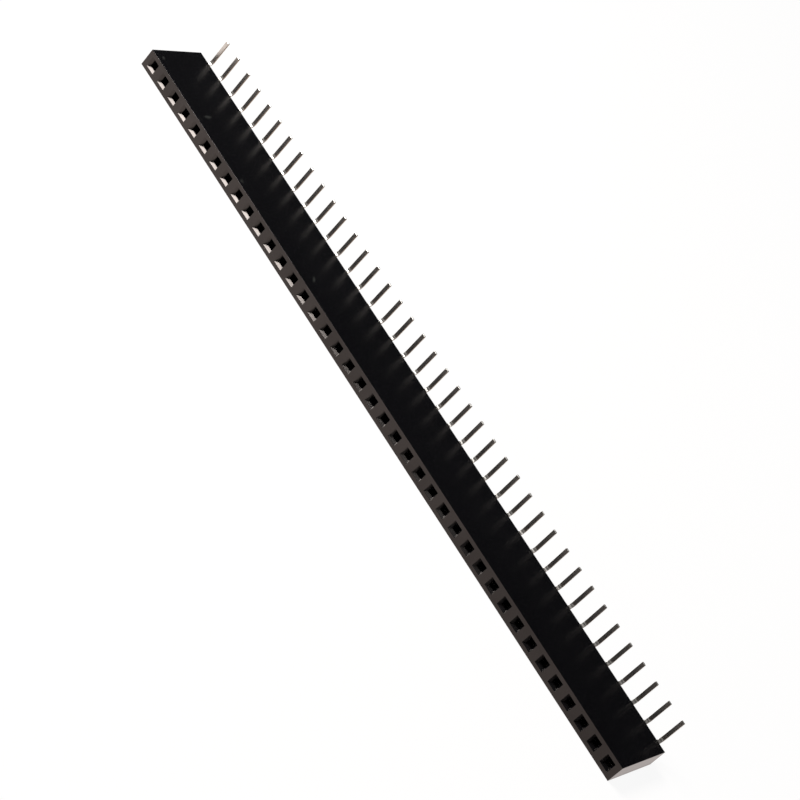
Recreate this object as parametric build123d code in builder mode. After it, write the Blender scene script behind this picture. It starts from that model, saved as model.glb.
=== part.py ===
from build123d import *
import os

# A right-angle female pin header: one moulded strip with a row of sockets, and in each socket a
# stamped contact whose tail leaves the rear face and turns up into a solder leg.
# X runs along the row, the socket mouths face -Y, and the strip lies on Z = 0 with the face
# that goes on the circuit board on top, at Z = body_thickness. Lengths are in millimetres.

# Row
pitch = 2.54
pole_count = 40

# Housing
end_margin = 0.2
body_depth = 8.5
body_thickness = 2.5
edge_radius = 0.03

# Socket: mouth, throat and the contact chamber behind them
mouth_side = 1.45
throat_side = 0.9
lead_in_depth = 0.365
entry_wall = 1.1
chamber_width = 1.6
chamber_height = 1.6

# Contact: stamped sheet, folded into a channel with two spring arms
sheet = 0.2
arm_side_clearance = 0.05
arm_floor_clearance = 0.1
arm_tip_clearance = 0.3
arm_tip_height = 0.9
grip_gap = 0.4
flare_length = 0.9
flare_gap = 0.95
channel_length = 1.6
plate_length = 1.5
plate_recess = 0.3
barb_length = 0.9

# Contact: tail and solder leg
tail_width = 0.5
tail_bend_radius = 0.7
leg_setback = 1.1
leg_height = 3.4
leg_tip_chamfer = 0.06

# How far a cut runs past the face it breaks through
overrun = 0.5

# Places that several pieces share
body_length = pole_count * pitch + 2 * end_margin
entry_y = -body_depth / 2
rear_y = body_depth / 2
row_z = body_thickness / 2
chamber_front_y = entry_y + entry_wall
chamber_floor_z = row_z - chamber_height / 2
chamber_roof_z = row_z + chamber_height / 2

entry_plane = Plane(origin=(0, entry_y, row_z), x_dir=(1, 0, 0), z_dir=(0, -1, 0))

os.makedirs("parts", exist_ok=True)

# The hollow of one socket: a funnel at the mouth, a throat that centres the pin, and a chamber
# that is open at the rear so that the contact can be pushed in
with BuildPart() as socket:
    with BuildSketch(entry_plane):
        Rectangle(mouth_side, mouth_side)
    with BuildSketch(entry_plane.offset(-lead_in_depth)):
        Rectangle(throat_side, throat_side)
    loft()
    with BuildSketch(entry_plane.offset(-lead_in_depth)):
        Rectangle(throat_side, throat_side)
    extrude(amount=lead_in_depth - entry_wall)
    with BuildSketch(entry_plane.offset(-entry_wall)):
        Rectangle(chamber_width, chamber_height)
    extrude(amount=entry_wall - body_depth - overrun)

# The moulded strip with softened edges and the row of sockets cut through it
with BuildPart() as housing:
    with BuildSketch(Plane.XY):
        Rectangle(body_length, body_depth)
    extrude(amount=body_thickness)
    fillet(housing.edges().filter_by(Axis.X), radius=edge_radius)
    with GridLocations(pitch, 0, pole_count, 1):
        add(socket.part, mode=Mode.SUBTRACT)

housing.part.label = "housing"
export_step(housing.part, "parts/housing.step")

# Places along the contact, from its arm tips to its leg
arm_tip_y = chamber_front_y + arm_tip_clearance
grip_y = arm_tip_y + flare_length
plate_rear_y = rear_y - plate_recess
plate_front_y = plate_rear_y - plate_length
channel_front_y = plate_front_y - channel_length
leg_y = rear_y + leg_setback
leg_tip_z = body_thickness + leg_height

# Places across the contact: its web lies on the chamber's roof and its arms hang from the web
channel_half_width = chamber_width / 2 - arm_side_clearance
arm_floor_z = chamber_floor_z + arm_floor_clearance
web_underside_z = chamber_roof_z - sheet
web_middle_z = chamber_roof_z - sheet / 2

with BuildPart() as contact:
    # Both arms seen from above: straight along the channel, closing to the grip, then flaring.
    # The line is the face that a pin meets, and the sheet lies outside it.
    with BuildSketch(Plane.XY.offset(arm_floor_z)):
        with BuildLine():
            pin_side = Polyline(
                (channel_half_width - sheet, plate_front_y),
                (channel_half_width - sheet, channel_front_y),
                (grip_gap / 2, grip_y),
                (flare_gap / 2, arm_tip_y),
            )
            offset(pin_side, amount=sheet, kind=Kind.INTERSECTION, side=Side.LEFT)
        make_face()
        mirror(about=Plane.YZ)
    extrude(amount=chamber_roof_z - arm_floor_z)
    # The arms' outline from the side: full height at the channel, narrower towards the tips
    with BuildSketch(Plane.YZ):
        with BuildLine():
            Polyline(
                (plate_front_y, arm_floor_z),
                (channel_front_y, arm_floor_z),
                (chamber_front_y, row_z - arm_tip_height / 2),
                (chamber_front_y, row_z + arm_tip_height / 2),
                (channel_front_y, chamber_roof_z),
                (plate_front_y, chamber_roof_z),
                close=True,
            )
        make_face()
    extrude(amount=chamber_width, both=True, mode=Mode.INTERSECT)
    # The web that joins the arms, and behind it the plate whose barbs press on the side walls
    with BuildSketch(Plane.XY.offset(web_underside_z)):
        with BuildLine():
            Polyline(
                (0, channel_front_y),
                (channel_half_width, channel_front_y),
                (channel_half_width, plate_front_y),
                (chamber_width / 2, plate_front_y + barb_length),
                (channel_half_width, plate_front_y + barb_length),
                (channel_half_width, plate_rear_y),
                (0, plate_rear_y),
                close=True,
            )
        make_face()
        mirror(about=Plane.YZ)
    extrude(amount=sheet)
    # The tail, which runs out of the chamber and turns up into the leg
    with BuildSketch(Plane.YZ):
        with BuildLine():
            FilletPolyline(
                (plate_rear_y, web_middle_z),
                (leg_y, web_middle_z),
                (leg_y, leg_tip_z),
                radius=tail_bend_radius,
            )
        trace(line_width=sheet)
    extrude(amount=tail_width / 2, both=True)
    chamfer(contact.edges().group_by(Axis.Z)[-1], length=leg_tip_chamfer)

first_contact_x = -pitch * (pole_count - 1) / 2
for place in range(pole_count):
    contact_name = f"contact_{place + 1:02d}"
    with BuildPart() as placed_contact:
        with Locations((first_contact_x + place * pitch, 0, 0)):
            add(contact.part)
    placed_contact.part.label = contact_name
    export_step(placed_contact.part, f"parts/{contact_name}.step")
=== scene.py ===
# %% [markdown]
# # A right-angle female pin header, dressed for its photograph
# The strip is one black moulding with a row of sockets, and every socket holds a stamped contact whose
# tail turns up into a solder leg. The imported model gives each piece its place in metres: X runs along the
# row, the mouths face -Y, and Z is up from the face that the strip lies on. Its solids are bare shapes, so
# every piece is built here again as a smooth surface with soft edges, and gets its finish.

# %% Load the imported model
import math

import bpy
import numpy as np
from mathutils import Matrix, Vector


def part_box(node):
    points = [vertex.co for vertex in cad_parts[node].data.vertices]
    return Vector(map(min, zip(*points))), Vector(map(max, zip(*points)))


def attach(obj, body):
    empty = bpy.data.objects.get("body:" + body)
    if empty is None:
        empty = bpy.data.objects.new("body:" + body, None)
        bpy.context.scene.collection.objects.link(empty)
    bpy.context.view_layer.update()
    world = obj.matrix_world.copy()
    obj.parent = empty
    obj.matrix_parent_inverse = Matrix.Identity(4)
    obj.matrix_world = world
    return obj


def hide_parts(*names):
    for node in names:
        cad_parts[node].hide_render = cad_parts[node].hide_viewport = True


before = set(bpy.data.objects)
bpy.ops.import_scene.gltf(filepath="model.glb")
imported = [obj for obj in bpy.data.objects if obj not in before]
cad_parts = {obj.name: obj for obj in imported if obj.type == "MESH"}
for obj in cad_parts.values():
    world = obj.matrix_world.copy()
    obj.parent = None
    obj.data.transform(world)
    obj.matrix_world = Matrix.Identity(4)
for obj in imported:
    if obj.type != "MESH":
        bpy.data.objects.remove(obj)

mm = 0.001
scene = bpy.context.scene
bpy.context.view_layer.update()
print("nodes:", len(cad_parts))

# %% [markdown]
# ## The camera
# A long lens looks down at the strip from the front right, and it is turned about its own axis until the
# row runs from the top left to the bottom right. Such a view could be set by eye. Here the place, the
# three angles and the focal length come from fitting the row's edges, corners and legs to the picture,
# because forty sockets in a row show even a small error.

# %% Camera
image_side_px = 800
focal_px = 2253.6
sensor_mm = 36.0
camera_place = Vector((85.756, -200.830, 136.251)) * mm
azimuth, elevation, roll = (math.radians(a) for a in (22.662, 31.7245, 44.2948))


def add_object(name, data):
    """Puts a camera, a mesh or a light into the scene, at the origin and unturned."""
    new_object = bpy.data.objects.new(name, data)
    scene.collection.objects.link(new_object)
    return new_object


def camera_turn(azimuth, elevation, roll):
    """The camera's axes: back points from the scene to the lens and right is level, then right and up
    both turn about back by roll."""
    back = Vector((math.sin(azimuth) * math.cos(elevation),
                   -math.cos(azimuth) * math.cos(elevation),
                   math.sin(elevation)))
    level = Vector((math.cos(azimuth), math.sin(azimuth), 0.0))
    upward = back.cross(level)
    right = level * math.cos(roll) + upward * math.sin(roll)
    up = upward * math.cos(roll) - level * math.sin(roll)
    return Matrix((right, up, back)).transposed()


lens = bpy.data.cameras.new("long_lens")
lens.sensor_width = sensor_mm
lens.lens = focal_px / image_side_px * sensor_mm
lens.clip_start, lens.clip_end = 0.01, 10.0
scene.camera = add_object("camera", lens)
scene.camera.matrix_world = (Matrix.Translation(camera_place)
                             @ camera_turn(azimuth, elevation, roll).to_4x4())
scene.view_settings.view_transform = "Standard"
print("lens in mm:", round(lens.lens, 2), "from the strip's middle in mm:", round(camera_place.length / mm))

# %% [markdown]
# ## Colours and nodes
# A finish in Blender is a small graph: each node does one thing, and wires carry its result on. It could be
# drawn by hand in the node editor. In a script, one function that adds a node with its settings, its
# numbers and its wires keeps each node to a line or two. Another turns a colour as it is picked on a
# screen (sRGB) into the linear light that Blender counts with.


# %% Colours and nodes
def hex_linear(code):
    """sRGB hex to linear RGBA: c / 12.92 in the darkest part, else ((c + 0.055) / 1.055) to the 2.4."""
    c = np.array([int(code[i:i + 2], 16) for i in (1, 3, 5)]) / 255
    c = np.where(c <= 0.04045, c / 12.92, ((c + 0.055) / 1.055) ** 2.4)
    return (*c.tolist(), 1.0)


def add_node(tree, kind, wires=None, numbers=None, **settings):
    """Adds one node: settings are its own options, numbers go on its sockets, wires come into them."""
    node = tree.nodes.new(kind)
    for name, value in settings.items():
        setattr(node, name, value)
    for socket, value in (numbers or {}).items():
        node.inputs[socket].default_value = value
    for socket, source in (wires or {}).items():
        tree.links.new(source, node.inputs[socket])
    return node


print("mid grey in linear light:", round(hex_linear("#808080")[0], 3))

# %% [markdown]
# ## A blank finish
# Every finish starts alike, with Blender's all-round shader and the place of each point on the object, from
# which its patterns are drawn. Of the places that Blender offers, Object coordinates stay fixed to the
# piece and are real lengths, so the scale of a pattern can be worked out from its width in mm.


# %% A blank finish
def new_finish(name):
    """An empty material: itself, its node tree, its Principled shader and its Object coordinates."""
    material = bpy.data.materials.new(name)
    material.use_nodes = True
    tree = material.node_tree
    place = add_node(tree, "ShaderNodeTexCoord").outputs["Object"]
    return material, tree, tree.nodes["Principled BSDF"], place


def per_metre(size_mm):
    """A texture scale whose pattern repeats about every size_mm: the repeats in one metre."""
    return 1 / (size_mm * mm)


print("scale of a pattern that is 1 mm wide:", per_metre(1.0))

# %% [markdown]
# ## Black polyester, moulded
# The housing is glass-filled polyester, coloured through with soot black. The steel that forms the sockets
# and the entry face is ground along the row, so those faces mirror bright things almost clearly and carry
# faint lines. The two large faces come from a spark-eroded plate, which leaves tiny pits, and they mirror
# only softly. One plain black would look like ink. So a slow drift changes the colour and the gloss, as a
# trace of mould release does, and a fine grain goes into the bump and the roughness. The real lines and
# pits are finer than 0.02 mm, and they are drawn about four times as wide, so that they show.

# %% Housing finishes
polyester_ior = 1.55
drift_mm = 6.0
drift_low, drift_high = 0.3, 0.7
gloss_low, gloss_high = 0.44, 0.56
roughness_spread = 0.035
grain_strength, grain_height = 0.12, 0.01 * mm


def moulded_black(name, dark, light, gleam, roughness, grain_mm, stretch):
    """Black plastic: noise over drift_mm mixes the two colours and varies the gloss, finer noise spreads
    the roughness and lifts a grain that is grain_mm wide and `stretch` times as long in X."""
    material, tree, shader, place = new_finish(name)
    drift = add_node(tree, "ShaderNodeTexNoise", {"Vector": place},
                     {"Scale": per_metre(drift_mm), "Detail": 3.0})
    colour = add_node(tree, "ShaderNodeMix", {"Factor": drift.outputs["Fac"]},
                      {"A": hex_linear(dark), "B": hex_linear(light)}, data_type="RGBA")
    gloss = add_node(tree, "ShaderNodeMapRange", {"Value": drift.outputs["Fac"]},
                     {"From Min": drift_low, "From Max": drift_high,
                      "To Min": gloss_low, "To Max": gloss_high})
    drawn_out = add_node(tree, "ShaderNodeMapping", {"Vector": place}, {"Scale": (1 / stretch, 1, 1)})
    grain = add_node(tree, "ShaderNodeTexNoise", {"Vector": drawn_out.outputs[0]},
                     {"Scale": per_metre(grain_mm), "Detail": 2.0})
    rough = add_node(tree, "ShaderNodeMapRange", {"Value": grain.outputs["Fac"]},
                     {"To Min": roughness - roughness_spread, "To Max": roughness + roughness_spread})
    bump = add_node(tree, "ShaderNodeBump", {"Height": grain.outputs["Fac"]},
                    {"Strength": grain_strength, "Distance": grain_height})
    tree.links.new(colour.outputs["Result"], shader.inputs["Base Color"])
    tree.links.new(gloss.outputs["Result"], shader.inputs["Specular IOR Level"])
    tree.links.new(rough.outputs["Result"], shader.inputs["Roughness"])
    tree.links.new(bump.outputs["Normal"], shader.inputs["Normal"])
    shader.inputs["IOR"].default_value = polyester_ior
    shader.inputs["Specular Tint"].default_value = hex_linear(gleam)
    print("finish:", name)
    return material


ground_finish = moulded_black("polyester_black_ground_tool", dark="#0c0b0d", light="#121113",
                              gleam="#fff2ea", roughness=0.165, grain_mm=0.09, stretch=25.0)
eroded_finish = moulded_black("polyester_black_eroded_tool", dark="#050508", light="#09090d",
                              gleam="#fff7f4", roughness=0.26, grain_mm=0.08, stretch=1.0)

# %% [markdown]
# ## Scuffs
# Loose strips rub against each other in their bag, and a few pale scuffs stay on the board face. They could
# be painted on an image that is wrapped round the piece. An ellipse with a ragged border needs no image:
# the distance from its centre, counted in its own half sizes, is 1 on the border, and noise is added to
# that distance before the dark colour goes over to the pale one.

# %% Scuffs on the board face
ragged_mm = 0.25
pale_within, dark_beyond = 0.9, 1.6


def add_scuffs(material, marks, shade, face_z):
    """Each mark is a centre x and y, two half sizes and a turn, in mm and degrees, on the face at height
    face_z. Its cover falls from 1 to 0 while distance plus noise runs from pale_within to dark_beyond."""
    tree = material.node_tree
    base = tree.nodes["Principled BSDF"].inputs["Base Color"]
    place = add_node(tree, "ShaderNodeTexCoord").outputs["Object"]
    ragged = add_node(tree, "ShaderNodeTexNoise", {"Vector": place},
                      {"Scale": per_metre(ragged_mm), "Detail": 2.0})
    covers = []
    for x, y, half_long, half_wide, turn in marks:
        own = add_node(tree, "ShaderNodeMapping", {"Vector": place},
                       {"Location": Vector((x, y, face_z)) * mm, "Rotation": (0, 0, math.radians(turn)),
                        "Scale": Vector((half_long, half_wide, 1.0)) * mm}, vector_type="TEXTURE")
        reach = add_node(tree, "ShaderNodeVectorMath", {0: own.outputs[0]}, operation="LENGTH")
        border = add_node(tree, "ShaderNodeMath", {0: reach.outputs["Value"], 1: ragged.outputs["Fac"]},
                          operation="ADD")
        cover = add_node(tree, "ShaderNodeMapRange", {"Value": border.outputs[0]},
                         {"From Min": dark_beyond, "From Max": pale_within})
        covers.append(cover.outputs["Result"])
    joined = covers[0]
    for cover in covers[1:]:
        joined = add_node(tree, "ShaderNodeMath", {0: joined, 1: cover}, operation="MAXIMUM").outputs[0]
    scuffed = add_node(tree, "ShaderNodeMix", {"Factor": joined, "A": base.links[0].from_socket},
                       {"B": hex_linear(shade)}, data_type="RGBA")
    tree.links.new(scuffed.outputs["Result"], base)
    print("scuffs on", material.name + ":", len(marks))


board_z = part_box("housing")[1].z / mm
board_scuffs = [(-49.67, -3.27, 0.36, 0.24, -35), (-40.26, -2.24, 0.7, 0.3, 92),
                (-30.24, -3.64, 0.36, 0.28, -37), (-15.28, -2.35, 0.66, 0.24, -38)]
add_scuffs(eroded_finish, board_scuffs, "#343533", board_z)

# %% [markdown]
# ## Tin plate on bronze sheet
# Contacts are stamped from thin phosphor bronze that was plated with tin while it was still a flat strip.
# Tin is a soft grey metal, half bright, with a patchy dull film from storage. Where the punch sheared the
# strip, the narrow faces show the bronze, browner and rougher, with a torn grain. One metal shader serves
# both: a noise as wide as the patches mixes two tones and two roughnesses. Its index of refraction is left
# alone, because a metal's colour already says how it reflects.


# %% Contact finishes
def sheet_metal(name, dull, bright, dull_rough, bright_rough, patch_mm, detail):
    """Metal: noise in patches of patch_mm mixes the dull colour and roughness with the bright ones."""
    material, tree, shader, place = new_finish(name)
    film = add_node(tree, "ShaderNodeTexNoise", {"Vector": place},
                    {"Scale": per_metre(patch_mm), "Detail": detail})
    colour = add_node(tree, "ShaderNodeMix", {"Factor": film.outputs["Fac"]},
                      {"A": hex_linear(dull), "B": hex_linear(bright)}, data_type="RGBA")
    rough = add_node(tree, "ShaderNodeMapRange", {"Value": film.outputs["Fac"]},
                     {"To Min": dull_rough, "To Max": bright_rough})
    tree.links.new(colour.outputs["Result"], shader.inputs["Base Color"])
    tree.links.new(rough.outputs["Result"], shader.inputs["Roughness"])
    shader.inputs["Metallic"].default_value = 1.0
    print("finish:", name)
    return material


tin_finish = sheet_metal("tin_plate_on_bronze_stamped", dull="#beb9b2", bright="#d7d3cd",
                         dull_rough=0.36, bright_rough=0.26, patch_mm=0.9, detail=4.0)
bronze_finish = sheet_metal("phosphor_bronze_sheared", dull="#7b6654", bright="#a08c78",
                            dull_rough=0.42, bright_rough=0.42, patch_mm=0.15, detail=3.0)

# %% [markdown]
# ## Soft corners
# A moulded or stamped edge is never quite sharp, and the thin line of light along it is what makes it look
# real. A Bevel modifier could round a finished mesh. Here the line that a surface follows is rounded before
# the surface is made, which gives clean rows of faces everywhere. One more point close beside each curve
# keeps the flats flat when the light is smoothed over them.


# %% Soft corners
def soften(corners, cut, hold, steps=3):
    """Rounds the inner corners of an open line. Each corner c becomes the parabola
    (1-s)^2 a + 2 s (1-s) c + s^2 b from a to b, the places `cut` away from c on both sides, and one more
    point lies `hold` beyond each of them."""
    corners = np.asarray(corners, float)
    c = corners[1:-1, None]
    back, ahead = corners[:-2, None] - c, corners[2:, None] - c
    back, ahead = (v / np.linalg.norm(v, axis=2, keepdims=True) for v in (back, ahead))
    s = np.linspace(0, 1, steps + 1)[None, :, None]
    a, b = c + cut * back, c + cut * ahead
    curve = (1 - s) ** 2 * a + 2 * s * (1 - s) * c + s ** 2 * b
    curve = np.concatenate([a + hold * back, curve, b + hold * ahead], axis=1)
    return np.concatenate([corners[:1], curve.reshape(-1, corners.shape[1]), corners[-1:]])


right_angle = [(0, 0), (1, 0), (1, 1)]
print("points of a softened right angle:", len(soften(right_angle, cut=0.2, hold=0.1)))

# %% [markdown]
# ## Rings and grids
# A socket is square in section and a contact is a flat bar, so both are rings of points round a rectangle,
# carried along a line. The corners of a ring are quarter circles. Row after row the rings make a grid, and
# its cells are the faces. A loop could place the points one by one, but numpy works out a whole grid in one
# sum, which is faster and keeps the formula in sight.


# %% Rings and grids
def rounded_rings(half_wide, half_high, radius, hold, steps=4, square=0.0):
    """Points round rectangles with rounded corners, one row per rectangle, anticlockwise from the right.
    At the angle t of a corner's quarter turn a point lies radius * (1 - cos t) and radius * (1 - sin t)
    short of the corner, along its two sides, and one more point lies `hold` beyond each end of the turn.
    Where square is 1 the points lie on the sides themselves."""
    half_wide, half_high, square = np.broadcast_arrays(half_wide, half_high, square)
    start = np.array([[1, 0], [0, 1], [-1, 0], [0, -1]])[None, :, None]
    end = np.roll(start, -1, axis=1)
    corner = (start + end) * np.stack([half_wide, half_high], -1)[:, None, None]
    share = np.linspace(0, 1, steps + 1)
    rounded = radius * (1 - np.cos(share * math.pi / 2))
    straight = radius * np.maximum(2 * share - 1, 0)
    rounded, straight = (np.concatenate([[0], d, [radius + hold]]) for d in (rounded, straight))
    short = (1 - square[:, None]) * rounded + square[:, None] * straight
    short_start, short_end = (d[:, None, :, None] for d in (short, short[:, ::-1]))
    return (corner - short_start * start - short_end * end).reshape(len(corner), -1, 2)


def grid_quads(rows, columns, wrap=False):
    """The four point numbers of every cell of a grid; wrap joins the last column to the first."""
    number = np.arange(rows * columns).reshape(rows, columns)
    beside = np.roll(number, -1, axis=1)
    quads = np.stack([number[:-1], beside[:-1], beside[1:], number[1:]], axis=-1)
    return (quads if wrap else quads[:, :-1]).reshape(-1, 4)


print("cells of 3 by 4 points:", len(grid_quads(3, 4)), "wrapped:", len(grid_quads(3, 4, wrap=True)))

# %% [markdown]
# ## Sockets
# In the mould every socket is a steel core: a pyramid that leaves the lead-in, a square neck that leaves the
# throat, and a wider core from the rear that leaves the chamber. Forty cores could be cut from a block with
# a Boolean modifier, but that leaves thin faces that shade badly. So the surface of one socket is a square
# ring carried along a line: from the border of its cell on the entry face over the mouth's edge, down the
# funnel, through the throat and the chamber, and out to the border of its cell on the rear face. Each point
# of that line is a depth behind the entry face, with the ring's half width and half height there.

# %% The line of one socket
low, high = (np.array(p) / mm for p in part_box("housing"))
row_z = (low[2] + high[2]) / 2
depth = high[1] - low[1]
pitch, poles = 2.54, 40
half_mouth, half_throat, half_chamber = 1.45 / 2, 0.9 / 2, 1.6 / 2
lead_in, entry_wall = 0.365, 1.1
edge_round, socket_round, hold = 0.03, 0.03, 0.012
half_cell = row_z - low[2] - edge_round - hold
socket_line = soften([(0, pitch / 2, half_cell), (0, half_mouth, half_mouth),
                      (lead_in, half_throat, half_throat), (entry_wall, half_throat, half_throat),
                      (entry_wall, half_chamber, half_chamber), (depth, half_chamber, half_chamber),
                      (depth, pitch / 2, half_cell)], socket_round, hold)
print("rings of one socket:", len(socket_line))

# %% [markdown]
# ## The row
# An Array modifier could repeat one socket along the row. In numpy the same is a sum: the rings are alike in
# every socket and only X moves on by the pitch, so adding the poles' places to the points of one socket
# gives all forty. The first and the last ring are true rectangles with no rounding, because the cells of
# neighbours have to meet without a gap.

# %% Forty sockets
ring_round = 0.012
on_border = np.isin(np.arange(len(socket_line)), [0, len(socket_line) - 1]).astype(float)
rings = rounded_rings(socket_line[:, 1], socket_line[:, 2], ring_round, hold, square=on_border)
pole_x = (np.arange(poles) - (poles - 1) / 2) * pitch
sockets = np.stack(np.broadcast_arrays(pole_x[:, None, None] + rings[..., 0],
                                       low[1] + socket_line[:, :1], row_z + rings[..., 1]), -1)
points_each = rings.shape[0] * rings.shape[1]
first_points = np.arange(poles)[:, None, None] * points_each
socket_quads = grid_quads(*rings.shape[:2], wrap=True) + first_points
patches = [(sockets.reshape(-1, 3), socket_quads.reshape(-1, 4))]
print("sockets:", len(sockets), "points in each:", points_each)

# %% [markdown]
# ## The moulding's outer skin
# Round the sockets the moulding is a plain bar with soft long edges. It could be a bevelled cube, but its
# points have to meet those of the sockets' cells. So two profiles, one over the board face and one under the
# rest face, are carried along the row, with a stop at every X where a cell has a point. The entry and the
# rear face are already there: the cells cover them.

# %% Upper and lower skin
place_digits = 4  # points within 0.0001 mm of each other count as one
along_x = np.unique(np.round(pole_x[:, None] + rings[0, :, 0], place_digits))
upper = soften([(low[1], row_z), (low[1], high[2]), (high[1], high[2]), (high[1], row_z)],
               edge_round, hold)[1:-1]
lower = soften([(high[1], row_z), (high[1], low[2]), (low[1], low[2]), (low[1], row_z)],
               edge_round, hold)[1:-1]
for profile in (upper, lower):
    skin = np.stack(np.broadcast_arrays(along_x, profile[:, :1], profile[:, 1:]), -1)
    patches.append((skin.reshape(-1, 3), grid_quads(len(profile), len(along_x))))
print("stops along the row:", len(along_x), "points across each skin:", len(upper), len(lower))

# %% [markdown]
# ## The two ends
# Past the last socket a narrow margin closes the bar. There the whole loop is carried on: both profiles,
# joined by the sides of the last cell. Close to the end the loop is drawn in along a quarter circle, so that
# the end face has a soft border too. Each point moves straight out of the bar's side, which is found by
# clamping it to an inner rectangle and taking the direction that is left.

# %% Ends
end_round = 0.02
turn_stops = 4
cell_side = np.sort(rings[0, np.isclose(rings[0, :, 0], pitch / 2), 1])
side_z = row_z + cell_side[1:-1]
loop = np.concatenate([upper, np.stack([np.full(len(side_z), high[1]), side_z[::-1]], 1),
                       lower, np.stack([np.full(len(side_z), low[1]), side_z], 1)])
middle = np.array([0.0, row_z])
inner = np.array([depth / 2 - edge_round, row_z - low[2] - edge_round])
outward = loop - middle - np.clip(loop - middle, -inner, inner)
outward /= np.linalg.norm(outward, axis=1, keepdims=True)
turn = np.linspace(0, math.pi / 2, turn_stops)
end_x = np.concatenate([[poles * pitch / 2, high[0] - end_round - hold],
                        high[0] - end_round + end_round * np.sin(turn), [high[0]]])
drawn_in = np.concatenate([[0, 0], end_round * (1 - np.cos(turn)), [end_round + hold / 2]])
end_loops = loop - drawn_in[:, None, None] * outward
for sign in (-1, 1):
    loop_x = np.broadcast_to(sign * end_x[:, None, None], end_loops.shape[:2] + (1,))
    rows = np.concatenate([loop_x, end_loops], -1)
    patches.append((rows[::-sign].reshape(-1, 3), grid_quads(*rows.shape[:2], wrap=True)))
    patches.append((rows[-1], np.arange(len(loop))[None, ::-sign]))
print("patches of the housing:", len(patches), "points round each end:", len(loop))

# %% [markdown]
# ## Welding
# The patches only lie side by side so far. Merge by Distance would join them in Blender. In numpy the same
# takes a few lines: places are rounded, equal ones become one point, and the faces take over its number. A
# skin is closed when every edge is run once in each direction by the two faces beside it, so edges that lack
# such a partner are counted, and a volume above zero tells that its faces point outwards.


# %% Weld the housing
def weld(patches):
    """Joins patches of (points, faces): points that share a place, rounded in mm, become one point."""
    starts = np.cumsum([0] + [len(points) for points, faces in patches[:-1]])
    points = np.concatenate([points for points, faces in patches])
    kept, number = np.unique(np.round(points, place_digits), axis=0, return_inverse=True)
    number = number.reshape(-1)
    return kept, [number[faces + start] for (points, faces), start in zip(patches, starts)]


def report_skin(name, points, faces):
    """Prints the edges that lack a partner running the other way, and the volume: a sixth of the sum of
    a . (b x c) over the triangles a, b, c that fan out from each face's first corner."""
    ends = np.concatenate([np.stack([f, np.roll(f, -1, axis=1)], -1).reshape(-1, 2) for f in faces])
    ways = ends @ [len(points), 1], ends @ [1, len(points)]
    volume = sum(np.einsum("fk,fjk->", points[f[:, 0]], np.cross(points[f[:, 1:-1]], points[f[:, 2:]]))
                 for f in faces) / 6
    print(name, "points:", len(points), "open edges:", len(np.setdiff1d(*ways)))
    print(name, "volume in mm3:", round(volume, 2))


housing_points, housing_faces = weld(patches)
report_skin("housing", housing_points, housing_faces)

# %% [markdown]
# ## The housing as a piece
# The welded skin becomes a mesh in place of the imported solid. Shading is smooth over the small curves and
# creased where faces meet at more than 40 degrees. The housing has two finishes: faces of the outer skin
# that look mostly up or down come from the eroded plate, and all others, with every face of the sockets,
# from ground steel. The direction of a face decides that, so no face has to be picked by hand.

# %% Make the housing
crease = math.radians(40)
mostly_upright = 0.7


def new_piece(name, points, faces, finishes, finish_of_face, node):
    """Makes a smooth-shaded piece from points in mm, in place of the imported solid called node."""
    mesh = bpy.data.meshes.new(name)
    mesh.from_pydata((points * mm).tolist(), [], [face for f in faces for face in f.tolist()])
    for finish in finishes:
        mesh.materials.append(finish)
    mesh.polygons.foreach_set("material_index", np.concatenate(finish_of_face).astype(int))
    mesh.shade_smooth()
    mesh.set_sharp_from_angle(angle=crease)
    piece = add_object(name, mesh)
    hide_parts(node)
    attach(piece, "root")


def upright_share(faces):
    """How far faces look up or down: |z| of the unit normal. The normal of a face with any number of
    corners is the sum of p x q over its edges from p to q."""
    corners = housing_points[faces]
    normal = np.cross(corners, np.roll(corners, -1, axis=1)).sum(axis=1)
    return np.abs(normal[:, 2]) / np.linalg.norm(normal, axis=1)


socket_faces, *skin_faces = housing_faces
eroded = [np.zeros(len(socket_faces))] + [upright_share(faces) > mostly_upright for faces in skin_faces]
new_piece("housing_moulded", housing_points, housing_faces, [ground_finish, eroded_finish], eroded,
          "housing")
print("eroded faces:", int(sum(part.sum() for part in eroded)))

# %% [markdown]
# ## Strips of sheet
# A contact starts as a flat blank: a wide part with barbs, then a narrow tail. The die folds two spring arms
# down from the wide part and bends the tail up into the leg. A Solidify modifier would give a folded plane
# its thickness, but not the rounded edge that a punch leaves. So each strip is a rounded rectangle that
# stands square to a path. Its narrow sides are where the punch sheared the sheet.

# %% A strip of sheet
thick = 0.2
sheet_round, sheet_hold = 0.02, 0.01
side_quads = 3  # a narrow side and the strip that is held flat on either hand of it


def strip(centre, along, across, half_wide, half_thick):
    """A bar of sheet along a path: point = centre + a * across + b * normal, where (a, b) runs round the
    rounded rectangle at that place and normal = along x across. Returns points, quads, the two end faces,
    and which quads lie on the two narrow sides."""
    rings = rounded_rings(half_wide, half_thick, sheet_round, sheet_hold, steps=3)
    normal = np.cross(along, across)
    points = centre[:, None] + rings[..., :1] * across[:, None] + rings[..., 1:] * normal[:, None]
    rows, columns = rings.shape[:2]
    ends = np.stack([np.arange(columns)[::-1], (rows - 1) * columns + np.arange(columns)])
    from_side = (np.arange((rows - 1) * columns) + side_quads - 1) % (columns // 2)
    return points.reshape(-1, 3), grid_quads(rows, columns, wrap=True), ends, from_side < side_quads


print("sheet thickness in mm:", thick)

# %% [markdown]
# ## The blank's outline
# Flat on the press, the middle of a contact is wide at the channel that carries the arms, widens a little
# more to a barb on each side, which bites into the chamber's walls, and then steps down to the tail. Its
# length is counted along the sheet, round the bend and up the leg to the tip. The outline could be a drawn
# curve. A list of lengths and half widths says the same and takes its numbers from the contact's own sizes.

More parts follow.
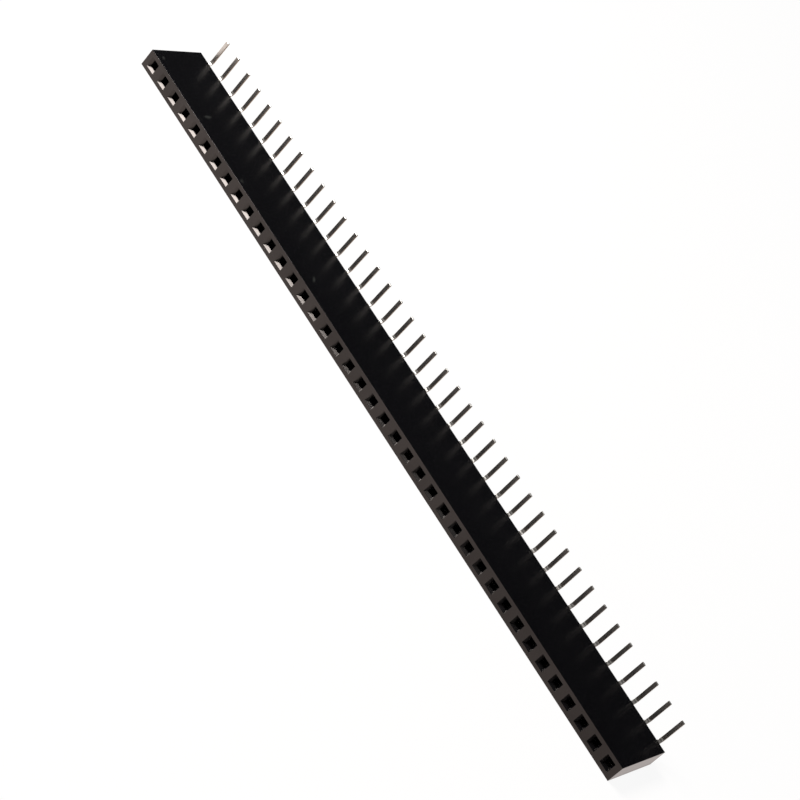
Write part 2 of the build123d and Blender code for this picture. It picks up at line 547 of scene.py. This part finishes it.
# %% The blank's outline
channel_length, plate_length, plate_recess, barb_length = 1.6, 1.5, 0.3, 0.9
half_channel, half_barb, half_tail = 0.75, 0.8, 0.5 / 2
leg_setback, bend_radius = 1.1, 0.7
step_length, blank_round, blank_hold = 0.03, 0.012, 0.004

web_z = row_z + half_chamber - thick / 2
plate_front = high[1] - plate_recess - plate_length
web_front = plate_front - channel_length
to_bend = high[1] + leg_setback - bend_radius - web_front
bend_end = to_bend + bend_radius * math.pi / 2
leg_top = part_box("contact_01")[1].z / mm
length = bend_end + leg_top - web_z - bend_radius
barb_end, plate_end = channel_length + barb_length, channel_length + plate_length
blank = soften([(0, half_channel), (channel_length, half_channel), (barb_end, half_barb),
                (barb_end + step_length, half_channel), (plate_end, half_channel),
                (plate_end + step_length, half_tail), (length, half_tail)],
               blank_round, blank_hold, steps=2)
print("blank length in mm:", round(length, 2), "points of its outline:", len(blank))

# %% [markdown]
# ## Tail and leg
# The path of this strip runs along the chamber's roof, out of the housing, round a quarter circle and up the
# leg. A curve object with a bevel could follow it, but where that tapers, the sheet gets thinner too. So the
# blank's outline gives the half width at each length s, and s also gives the place on the path and its
# direction there. The leg's tip is drawn in on all four sides, as the cut-off tool leaves it.

# %% Tail and leg
tip_chamfer, tip_hold, bend_stops = 0.06, 0.03, 13

tip_stops = length - tip_chamfer + np.array([-tip_hold, 0, tip_chamfer])
s = np.unique(np.concatenate([blank[:, 0], np.linspace(to_bend, bend_end, bend_stops), tip_stops]))
turned = np.clip((s - to_bend) / bend_radius, 0, math.pi / 2)
centre = np.stack([0 * s, web_front + np.minimum(s, to_bend) + bend_radius * np.sin(turned),
                   web_z + bend_radius * (1 - np.cos(turned)) + np.maximum(s - bend_end, 0)], 1)
along = np.stack([0 * s, np.cos(turned), np.sin(turned)], 1)
across = np.broadcast_to([1.0, 0, 0], along.shape)
cut_back = np.maximum(s - (length - tip_chamfer), 0)
tail_strip = strip(centre, along, across, np.interp(s, *blank.T) - cut_back, thick / 2 - cut_back)
print("stops along the tail:", len(s), "points:", len(tail_strip[0]))

# %% [markdown]
# ## Spring arms
# The two arms are walls of the channel that run on towards the mouth. Seen from above they close to the
# grip, where a pin is held, and flare open at the tip, where it comes in. Seen from the side they get lower
# towards the tip. One arm is a strip that stands on edge along the middle line of its sheet. The other could
# come from a Mirror modifier. Here its X changes sign, and its faces are listed backwards, because a mirror
# turns a surface inside out.

# %% Spring arms
x_at_channel, x_at_grip, x_at_tip = 0.645, 0.302, 0.57
grip_depth, tip_depth = 2.3, 1.42
arm_bend, arm_hold = 0.25, 0.02
floor_clearance, half_tip_height, fold_inset = 0.1, 0.45, 0.02

arm_line = soften([(x_at_channel, plate_front), (x_at_channel, web_front),
                   (x_at_grip, low[1] + grip_depth), (x_at_tip, low[1] + tip_depth)],
                  arm_bend, arm_hold, steps=6)
narrowing = np.clip((web_front - arm_line[:, 1]) / (web_front - low[1] - entry_wall), 0, 1)
wall_low, wall_high = row_z - half_chamber + floor_clearance, row_z + half_chamber
arm_low = wall_low + (row_z - half_tip_height - wall_low) * narrowing
arm_high = wall_high + (row_z + half_tip_height - wall_high) * narrowing
arm_high = np.minimum(arm_high, wall_high - fold_inset)
centre = np.column_stack([arm_line, (arm_low + arm_high) / 2])
along = np.gradient(arm_line, axis=0)
along = np.column_stack([along / np.linalg.norm(along, axis=1, keepdims=True), 0 * narrowing])
across = np.broadcast_to([0, 0, 1.0], along.shape)
points, quads, ends, sheared = strip(centre, along, across, (arm_high - arm_low) / 2, thick / 2)
right_arm = points, quads, ends, sheared
left_arm = points * [-1, 1, 1], quads[:, ::-1], ends[:, ::-1], sheared
print("grip in mm:", round(2 * (arm_line[:, 0].min() - thick / 2), 2))

# %% [markdown]
# ## Forty contacts
# All contacts come from the same die, so one set of points serves them all and only moves along the row.
# They could share one mesh, with each object moved to its place, but a piece here keeps its place in its
# mesh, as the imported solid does. The sheared sides and the cut ends get the bronze, all other faces the tin.

# %% Forty contacts
contact_patches, contact_finish = [], []
for points, quads, ends, sheared in (tail_strip, right_arm, left_arm):
    contact_patches += [(points, quads), (points, ends)]
    contact_finish += [sheared, np.ones(len(ends))]
contact_points, contact_faces = weld(contact_patches)
report_skin("contact", contact_points, contact_faces)
for number, x in enumerate(pole_x, 1):
    new_piece(f"contact_{number:02d}_formed", contact_points + [x, 0, 0], contact_faces,
              [tin_finish, bronze_finish], contact_finish, f"contact_{number:02d}")
print("contacts:", len(pole_x))

# %% [markdown]
# ## White paper under the strip
# The strip lies on white paper, a large square just below Z = 0. Paper is rough and has no gloss. Lit by the
# lamps alone it would come out grey towards the near end, and more light would spoil the black of the
# strip. So for the rays that draw the background or mirror it, most of the lit paper is swapped for a white
# of its own, and a part of the shadow stays. Light Path tells these rays apart.

# %% Paper and its rays
paper_half, paper_drop = 6.0, 0.005 * mm
swapped_share = 0.88

corners = np.array([[-1, -1, 0], [1, -1, 0], [1, 1, 0], [-1, 1, 0]]) * paper_half
corners[:, 2] = -paper_drop
paper_mesh = bpy.data.meshes.new("white_sheet")
paper_mesh.from_pydata(corners.tolist(), [], [[0, 1, 2, 3]])
add_object("white_sheet", paper_mesh)

paper, tree, shader, place = new_finish("paper_white_matt")
shader.inputs["Roughness"].default_value = 0.9
shader.inputs["Specular IOR Level"].default_value = 0.0
rays = add_node(tree, "ShaderNodeLightPath").outputs
mirrored = add_node(tree, "ShaderNodeMath", {0: rays["Is Glossy Ray"], 1: rays["Is Transmission Ray"]},
                    operation="MAXIMUM").outputs[0]
swapped = add_node(tree, "ShaderNodeMath", {0: mirrored, 1: rays["Is Camera Ray"]}, operation="MAXIMUM")
kept = add_node(tree, "ShaderNodeMath", {0: swapped.outputs[0]}, {1: -swapped_share, 2: 1.0},
                operation="MULTIPLY_ADD")
lit_colour = add_node(tree, "ShaderNodeMix", {"Factor": kept.outputs[0]},
                      {"A": hex_linear("#000000"), "B": hex_linear("#f6efea")}, data_type="RGBA")
tree.links.new(lit_colour.outputs["Result"], shader.inputs["Base Color"])
paper_mesh.materials.append(paper)
print("finish:", paper.name, "on a sheet of", 2 * paper_half, "m")

# %% [markdown]
# ## The paper's glow, with painted light in what it mirrors
# What the camera sees is a flat white. What the strip mirrors is painted light: it falls off along the row, as
# it would on paper under a lamp that hangs over the far end, and a painted pool of light lies just beyond the
# near end face. This could be done with more lamps, but each would also shine on the strip. An Emission shader
# paints this light for those rays alone.

# %% The paper's glow and painted light
drawn_white = 0.93
# painted lamp falloff along the row, only in what the strip mirrors
mirrored_far, mirrored_near = 1.08, 0.66
row_from, row_to = -55 * mm, 55 * mm
# a painted pool of light on the paper just past the near end face, only in what the strip mirrors
end_from, end_to, painted_end_light = 50.9 * mm, 51.2 * mm, 0.22

row_x = add_node(tree, "ShaderNodeSeparateXYZ", {0: place}).outputs["X"]
painted_falloff = add_node(tree, "ShaderNodeMapRange", {"Value": row_x},
                   {"From Min": row_from, "From Max": row_to,
                    "To Min": mirrored_far, "To Max": mirrored_near})
painted_end_pool = add_node(tree, "ShaderNodeMapRange", {"Value": row_x},
                  {"From Min": end_from, "From Max": end_to, "To Min": 0.0, "To Max": painted_end_light})
painted_mirror_light = add_node(tree, "ShaderNodeMath", {0: painted_falloff.outputs["Result"], 1: painted_end_pool.outputs["Result"]},
                        operation="ADD")
drawn = add_node(tree, "ShaderNodeMath", {0: rays["Is Camera Ray"]}, {1: drawn_white}, operation="MULTIPLY")
strength = add_node(tree, "ShaderNodeMath", {0: mirrored, 1: painted_mirror_light.outputs[0], 2: drawn.outputs[0]},
                    operation="MULTIPLY_ADD")
# the painted light in mirrors is tinted warm
tint = add_node(tree, "ShaderNodeMix", {"Factor": mirrored},
                {"A": hex_linear("#ffffff"), "B": hex_linear("#fff5f1")}, data_type="RGBA")
glow_with_painted_light = add_node(tree, "ShaderNodeEmission",
                     {"Strength": strength.outputs[0], "Color": tint.outputs["Result"]})
both = add_node(tree, "ShaderNodeAddShader", {0: shader.outputs[0], 1: glow_with_painted_light.outputs[0]})
tree.links.new(both.outputs[0], tree.nodes["Material Output"].inputs["Surface"])
print("white in mirrors at the far and the near end:", mirrored_far, mirrored_near)

# %% [markdown]
# ## Lamps
# One round lamp, nearly 20 cm across, hangs over the far left of the row: it is what the lower lead-in faces
# mirror at that end. A small weak one hangs beside it and shows in those of the middle. A lamp's strength in
# Blender is its power, but what a mirror shows is its radiance, so the power is worked out from that.


# %% Lamps
def hang_lamp(name, place, radius, radiance):
    """A round lamp that faces the strip. A disc of radius r and radiance L gives off L * pi * pi * r^2."""
    light = bpy.data.lights.new(name, "AREA")
    light.shape = "DISK"
    light.size = 2 * radius
    light.energy = radiance * math.pi * math.pi * radius ** 2
    facing = place.to_track_quat("Z", "Y").to_matrix().to_4x4()
    add_object(name, light).matrix_world = Matrix.Translation(place) @ facing
    print(name, "power in W:", round(light.energy, 3))


hang_lamp("main_lamp", Vector((-253, -111, 318)) * mm, radius=97 * mm, radiance=18.5)
hang_lamp("far_lamp", Vector((-122, -134, 419)) * mm, radius=22 * mm, radiance=1.1)

# %% [markdown]
# ## The room
# Around the horizon the room is white, and overhead it is dark, which keeps the board face black. A picture
# of a real room could light the scene, but two levels and a blend are enough for what the strip mirrors.
# The world's Generated coordinates are the direction of a ray, so their Z is the sine of its rise.

# %% Room
white_below, dark_above = 0.10, 0.28
white_level, dark_level = 1.0, 0.006

room = bpy.data.worlds.new("room")
scene.world = room
room.use_nodes = True
tree = room.node_tree
direction = add_node(tree, "ShaderNodeTexCoord").outputs["Generated"]
rise = add_node(tree, "ShaderNodeSeparateXYZ", {0: direction}).outputs["Z"]
glow = add_node(tree, "ShaderNodeMapRange", {"Value": rise},
                {"From Min": dark_above, "From Max": white_below,
                 "To Min": dark_level, "To Max": white_level})
background = tree.nodes["Background"]
background.inputs["Color"].default_value = hex_linear("#ffffff")
tree.links.new(glow.outputs["Result"], background.inputs["Strength"])
print("room is dark from", round(math.degrees(math.asin(dark_above))), "degrees up")
